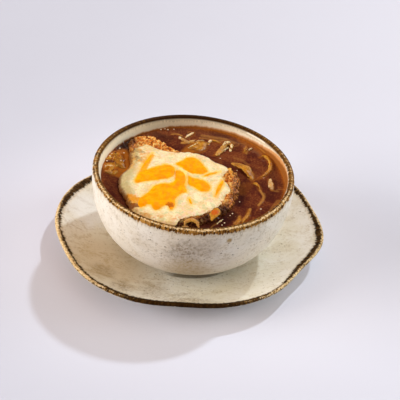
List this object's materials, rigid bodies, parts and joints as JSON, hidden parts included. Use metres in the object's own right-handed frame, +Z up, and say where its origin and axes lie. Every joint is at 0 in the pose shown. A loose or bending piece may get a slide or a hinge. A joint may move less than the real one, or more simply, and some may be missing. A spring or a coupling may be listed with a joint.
{
  "type": "french onion soup",
  "caption": "Round stoneware bowl of brown onion soup on its saucer, with floating bread under melted white and orange cheese and loose onion strips.",
  "frame": {"origin": "on the table, under the middle of the saucer's outline", "axes": "+Z up, +Y away from the viewer, +X to the viewer's right; the bowl's axis is parallel to Z"},
  "size_m": [0.1932, 0.175, 0.0688],
  "materials": {
    "glaze": "cream reactive glaze with fine brown specks and a mottled dark brown rim, satin gloss",
    "broth": "glossy dark brown broth, amber where it is thin",
    "crust": "rough toasted bread crust, orange brown to dark brown",
    "white_cheese": "melted cream white cheese with a soft sheen",
    "orange_cheese": "soft orange yellow cheese, a little browned at one corner",
    "onion": "wet translucent amber onion"
  },
  "bodies": {
    "root": {"saucer": "glaze", "bowl": "glaze", "bread": "crust", "white_cheese": "white_cheese", "cheddar_left": "orange_cheese", "cheddar_back": "orange_cheese", "cheddar_right": "orange_cheese", "cheddar_front": "orange_cheese", "cheddar_sliver_left": "orange_cheese", "cheddar_sliver_back": "orange_cheese", "cheddar_sliver_right": "orange_cheese", "cheddar_drop": "orange_cheese", "onion_petal_back": "onion", "onion_edge_back": "onion", "onion_sliver_back": "onion", "onion_arc_back": "onion", "onion_curl_back": "onion", "onion_sliver_middle": "onion", "onion_ring_right": "onion", "onion_fold_right": "onion", "onion_leaf_right": "onion", "onion_arc_right": "onion", "onion_sliver_front": "onion", "onion_thread_front": "onion", "onion_petal_front": "onion", "onion_curl_front": "onion", "onion_petal_left": "onion", "onion_curl_left": "onion", "onion_shred_left": "onion", "soup": "broth"}
  },
  "joints": []
}
